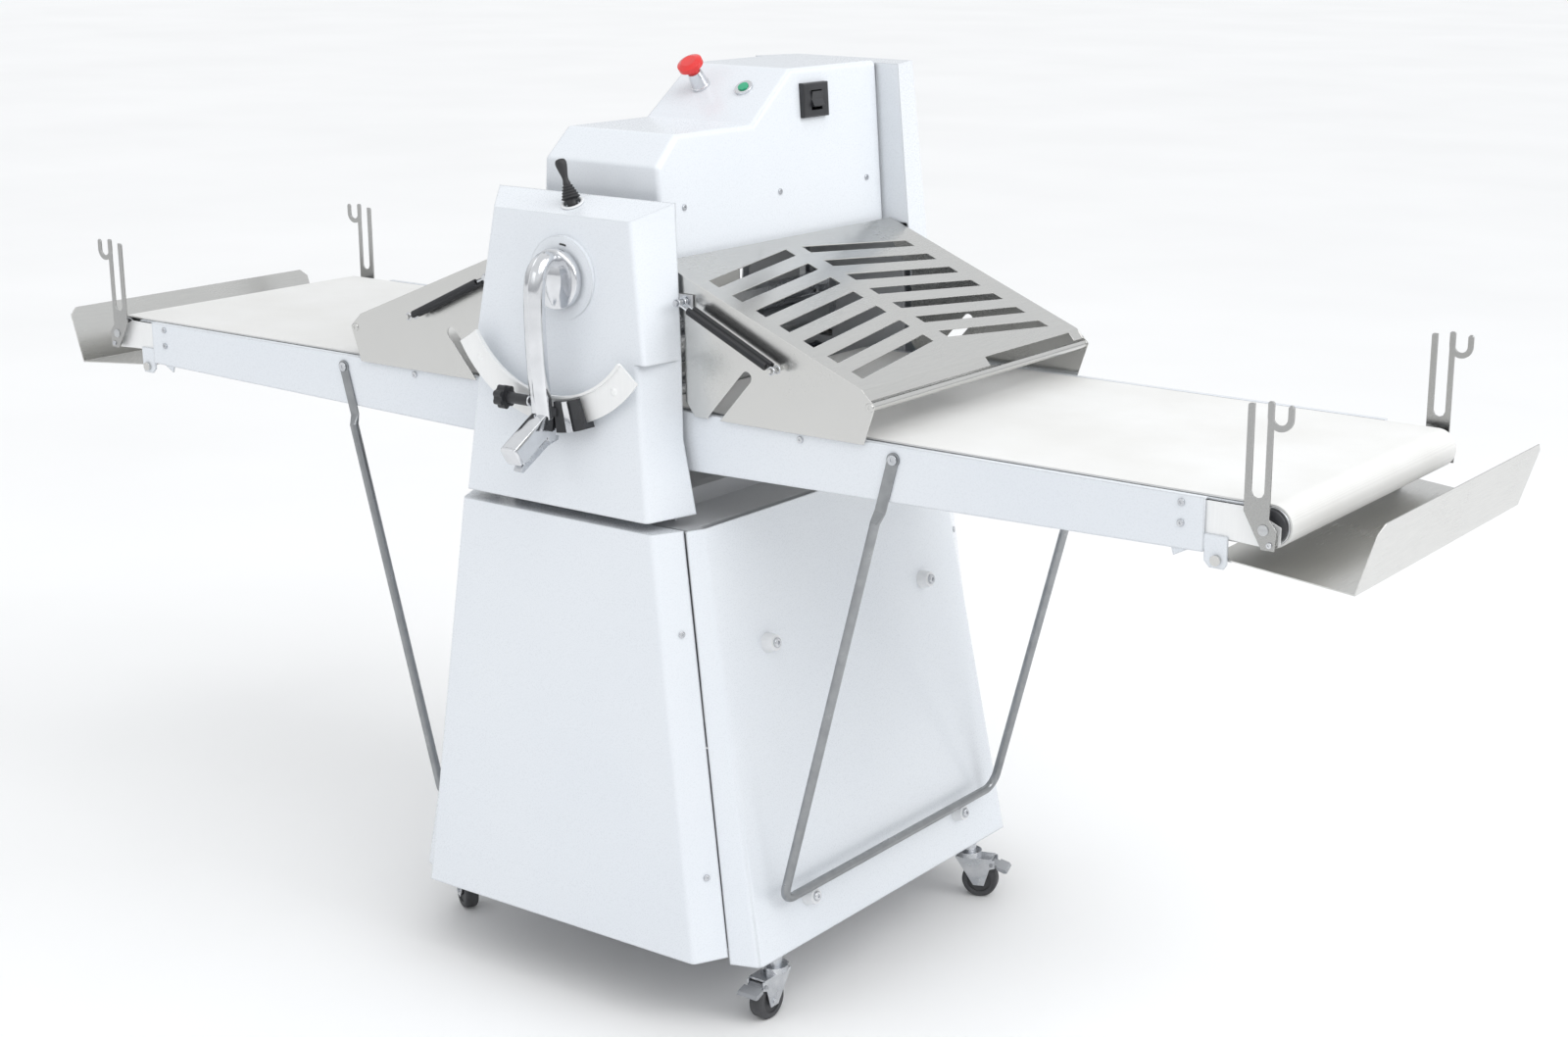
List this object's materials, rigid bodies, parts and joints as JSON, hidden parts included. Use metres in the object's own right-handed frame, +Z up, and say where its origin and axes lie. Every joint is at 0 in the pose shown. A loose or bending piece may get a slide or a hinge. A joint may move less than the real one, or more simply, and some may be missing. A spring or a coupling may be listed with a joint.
{
  "type": "dough sheeter",
  "caption": "Free-standing reversible dough sheeter on castors with two folding belt tables, slotted finger guards, end trays and a lever that sets the gap of the sheeting rollers.",
  "frame": {"origin": "on the floor, under the middle of the sheeting rollers", "axes": "+X along the belts to the operator's right, -Y towards the operator's side with the lever, +Z up"},
  "size_m": [2.476, 0.8821, 1.3863],
  "materials": {
    "white_paint": "smooth gloss powder coat",
    "frame_paint": "grey powder coat",
    "stainless": "fine brushed",
    "zinc": "bright zinc",
    "polished": "polished chrome",
    "cast_alloy": "polished casting",
    "roller_steel": "ground hard chrome",
    "roller_alloy": "turned",
    "motor_alloy": "cast, painted",
    "chain_steel": "oiled",
    "belt_cloth": "woven food belt",
    "white_plastic": "moulded",
    "black_plastic": "moulded",
    "grey_plastic": "moulded",
    "red_plastic": "moulded",
    "green_plastic": "moulded",
    "wheel_rubber": "grey-black tread",
    "boot_rubber": "moulded bellows"
  },
  "bodies": {
    "machine": {"machine_frame": "frame_paint", "base_front_cover": "white_paint", "base_rear_cover": "white_paint", "side_panel_right": "white_paint", "side_panel_left": "white_paint", "strut_pegs": "white_plastic", "machine_screws": "zinc", "front_column_cover": "white_paint", "rear_column_cover": "white_paint", "head_housing": "white_paint", "drive_motor": "motor_alloy", "drive_chain": "chain_steel", "lower_scrapers": "stainless", "button_collars": "polished", "switch_body": "black_plastic", "sector_plate": "stainless"},
    "stop_button": {"stop_head": "red_plastic"},
    "start_button_cap": {"start_button": "green_plastic"},
    "rocker": {"switch_rocker": "black_plastic"},
    "stick": {"joystick": "boot_rubber"},
    "lever": {"lever_arm": "cast_alloy", "lever_slider": "black_plastic", "lift_shaft": "zinc"},
    "trigger": {"grip_trigger": "zinc"},
    "knob": {"star_knob": "black_plastic"},
    "lower_roll": {"lower_roller": "roller_steel"},
    "yoke": {"roller_yoke": "zinc"},
    "upper_roll": {"upper_roller": "roller_steel"},
    "table_right": {"table_frame_right": "white_paint", "belt_right": "belt_cloth", "end_plates_right": "stainless", "pin_forks_right": "zinc", "table_bolts_right": "zinc"},
    "drive_roll_right": {"drive_roller_right": "roller_alloy"},
    "end_roll_right": {"end_roller_right": "roller_alloy"},
    "tray_right": {"catch_tray_right": "stainless"},
    "strut_frame_right": {"strut_right": "zinc"},
    "guard_flap_right": {"guard_right": "stainless", "guard_springs_right": "black_plastic"},
    "table_left": {"table_frame_left": "white_paint", "belt_left": "belt_cloth", "end_plates_left": "stainless", "pin_forks_left": "zinc", "table_bolts_left": "zinc"},
    "drive_roll_left": {"drive_roller_left": "roller_alloy"},
    "end_roll_left": {"end_roller_left": "roller_alloy"},
    "tray_left": {"catch_tray_left": "stainless"},
    "strut_frame_left": {"strut_left": "zinc"},
    "guard_flap_left": {"guard_left": "stainless", "guard_springs_left": "black_plastic"},
    "swivel_front_right": {"castor_fork_front_right": "zinc"},
    "wheel_front_right": {"castor_wheel_front_right": "wheel_rubber"},
    "pedal_front_right": {"brake_pedal_front_right": "grey_plastic"},
    "swivel_rear_right": {"castor_fork_rear_right": "zinc"},
    "wheel_rear_right": {"castor_wheel_rear_right": "wheel_rubber"},
    "pedal_rear_right": {"brake_pedal_rear_right": "grey_plastic"},
    "swivel_front_left": {"castor_fork_front_left": "zinc"},
    "wheel_front_left": {"castor_wheel_front_left": "wheel_rubber"},
    "swivel_rear_left": {"castor_fork_rear_left": "zinc"},
    "wheel_rear_left": {"castor_wheel_rear_left": "wheel_rubber"}
  },
  "joints": [
    {"name": "stop_press", "type": "slide", "parent": "machine", "child": "stop_button", "axis": [0, 0.6051, -0.7962], "range_m": [0, 0.004], "stiffness_N_per_m": 1500},
    {"name": "start_press", "type": "slide", "parent": "machine", "child": "start_button_cap", "axis": [0, 0.6051, -0.7962], "range_m": [0, 0.003], "stiffness_N_per_m": 1200},
    {"name": "rocker_tilt", "type": "hinge", "parent": "machine", "child": "rocker", "pos_m": [0.104, 0.116, 1.319], "axis": [0, 1, 0], "range_deg": [0, 20]},
    {"name": "stick_tilt", "type": "hinge", "parent": "machine", "child": "stick", "pos_m": [0, -0.319, 1.196], "axis": [0, 1, 0], "range_deg": [0, 40]},
    {"name": "lever_swing", "type": "hinge", "parent": "machine", "child": "lever", "pos_m": [0.008, -0.38, 1.095], "axis": [0, 1, 0], "range_deg": [-35, 50]},
    {"name": "trigger_squeeze", "type": "hinge", "parent": "lever", "child": "trigger", "pos_m": [0.008, -0.398, 0.873], "axis": [-1, 0, 0], "range_deg": [0, 12], "stiffness_Nm_per_rad": 1.5},
    {"name": "knob_turn", "type": "hinge", "parent": "lever", "child": "knob", "pos_m": [-0.06, -0.41, 0.923], "axis": [1, 0, 0], "continuous": true},
    {"name": "yoke_lift", "type": "slide", "parent": "machine", "child": "yoke", "axis": [0, 0, 1], "range_m": [-0.0167, 0.0238]},
    {"name": "lower_roll_spin", "type": "hinge", "parent": "machine", "child": "lower_roll", "pos_m": [0, 0, 0.88], "axis": [0, 1, 0], "continuous": true},
    {"name": "upper_roll_spin", "type": "hinge", "parent": "yoke", "child": "upper_roll", "pos_m": [0, 0, 0.958], "axis": [0, 1, 0], "continuous": true},
    {"name": "fold_right", "type": "hinge", "parent": "machine", "child": "table_right", "pos_m": [0.105, 0, 0.88], "axis": [0, -1, 0], "range_deg": [0, 58]},
    {"name": "guard_lift_right", "type": "hinge", "parent": "machine", "child": "guard_flap_right", "pos_m": [0.15, 0, 1.1], "axis": [0, -1, 0], "range_deg": [0, 107.5]},
    {"name": "strut_swing_right", "type": "hinge", "parent": "table_right", "child": "strut_frame_right", "pos_m": [0.534, 0, 0.889], "axis": [0, -1, 0], "range_deg": [-44.1, 0]},
    {"name": "tray_drop_right", "type": "hinge", "parent": "table_right", "child": "tray_right", "pos_m": [1.024, 0, 0.83], "axis": [0, 1, 0], "range_deg": [0, 70]},
    {"name": "drive_roll_spin_right", "type": "hinge", "parent": "table_right", "child": "drive_roll_right", "pos_m": [0.105, 0, 0.88], "axis": [0, 1, 0], "continuous": true},
    {"name": "end_roll_spin_right", "type": "hinge", "parent": "table_right", "child": "end_roll_right", "pos_m": [1.09, 0, 0.881], "axis": [0, 1, 0], "continuous": true},
    {"name": "fold_left", "type": "hinge", "parent": "machine", "child": "table_left", "pos_m": [-0.105, 0, 0.88], "axis": [0, 1, 0], "range_deg": [0, 58]},
    {"name": "guard_lift_left", "type": "hinge", "parent": "machine", "child": "guard_flap_left", "pos_m": [-0.15, 0, 1.1], "axis": [0, 1, 0], "range_deg": [0, 107.5]},
    {"name": "strut_swing_left", "type": "hinge", "parent": "table_left", "child": "strut_frame_left", "pos_m": [-0.534, 0, 0.889], "axis": [0, 1, 0], "range_deg": [-44.1, 0]},
    {"name": "tray_drop_left", "type": "hinge", "parent": "table_left", "child": "tray_left", "pos_m": [-1.024, 0, 0.83], "axis": [0, -1, 0], "range_deg": [0, 70]},
    {"name": "drive_roll_spin_left", "type": "hinge", "parent": "table_left", "child": "drive_roll_left", "pos_m": [-0.105, 0, 0.88], "axis": [0, 1, 0], "continuous": true},
    {"name": "end_roll_spin_left", "type": "hinge", "parent": "table_left", "child": "end_roll_left", "pos_m": [-1.09, 0, 0.881], "axis": [0, 1, 0], "continuous": true},
    {"name": "swivel_turn_front_right", "type": "hinge", "parent": "machine", "child": "swivel_front_right", "pos_m": [0.315, -0.268, 0.09], "axis": [0, 0, 1], "continuous": true},
    {"name": "wheel_spin_front_right", "type": "hinge", "parent": "swivel_front_right", "child": "wheel_front_right", "pos_m": [0.315, -0.288, 0.03], "axis": [1, 0, 0], "continuous": true},
    {"name": "pedal_lift_front_right", "type": "hinge", "parent": "swivel_front_right", "child": "pedal_front_right", "pos_m": [0.315, -0.309, 0.06], "axis": [-1, 0, 0], "range_deg": [0, 12]},
    {"name": "swivel_turn_rear_right", "type": "hinge", "parent": "machine", "child": "swivel_rear_right", "pos_m": [0.315, 0.268, 0.09], "axis": [0, 0, 1], "continuous": true},
    {"name": "wheel_spin_rear_right", "type": "hinge", "parent": "swivel_rear_right", "child": "wheel_rear_right", "pos_m": [0.33379, 0.27484, 0.03], "axis": [-0.342, 0.9397, 0], "continuous": true},
    {"name": "pedal_lift_rear_right", "type": "hinge", "parent": "swivel_rear_right", "child": "pedal_rear_right", "pos_m": [0.35353, 0.28202, 0.06], "axis": [0.342, -0.9397, 0], "range_deg": [0, 12]},
    {"name": "swivel_turn_front_left", "type": "hinge", "parent": "machine", "child": "swivel_front_left", "pos_m": [-0.315, -0.268, 0.09], "axis": [0, 0, 1], "continuous": true},
    {"name": "wheel_spin_front_left", "type": "hinge", "parent": "swivel_front_left", "child": "wheel_front_left", "pos_m": [-0.33232, -0.258, 0.03], "axis": [-0.5, -0.866, 0], "continuous": true},
    {"name": "swivel_turn_rear_left", "type": "hinge", "parent": "machine", "child": "swivel_rear_left", "pos_m": [-0.315, 0.268, 0.09], "axis": [0, 0, 1], "continuous": true},
    {"name": "wheel_spin_rear_left", "type": "hinge", "parent": "swivel_rear_left", "child": "wheel_rear_left", "pos_m": [-0.325, 0.28532, 0.03], "axis": [-0.866, -0.5, 0], "continuous": true}
  ],
  "couplings": [
    {"joint": "yoke_lift", "follows": "lever_swing", "m_per_rad": 0.027},
    {"joint": "upper_roll_spin", "follows": "lower_roll_spin", "ratio": -1},
    {"joint": "guard_lift_right", "follows": "fold_right", "ratio": 1.85},
    {"joint": "strut_swing_right", "follows": "fold_right", "ratio": -0.7586},
    {"joint": "drive_roll_spin_right", "follows": "lower_roll_spin", "ratio": 1.045},
    {"joint": "end_roll_spin_right", "follows": "lower_roll_spin", "ratio": 1.124},
    {"joint": "guard_lift_left", "follows": "fold_left", "ratio": 1.85},
    {"joint": "strut_swing_left", "follows": "fold_left", "ratio": -0.7586},
    {"joint": "drive_roll_spin_left", "follows": "lower_roll_spin", "ratio": 1.045},
    {"joint": "end_roll_spin_left", "follows": "lower_roll_spin", "ratio": 1.124}
  ]
}
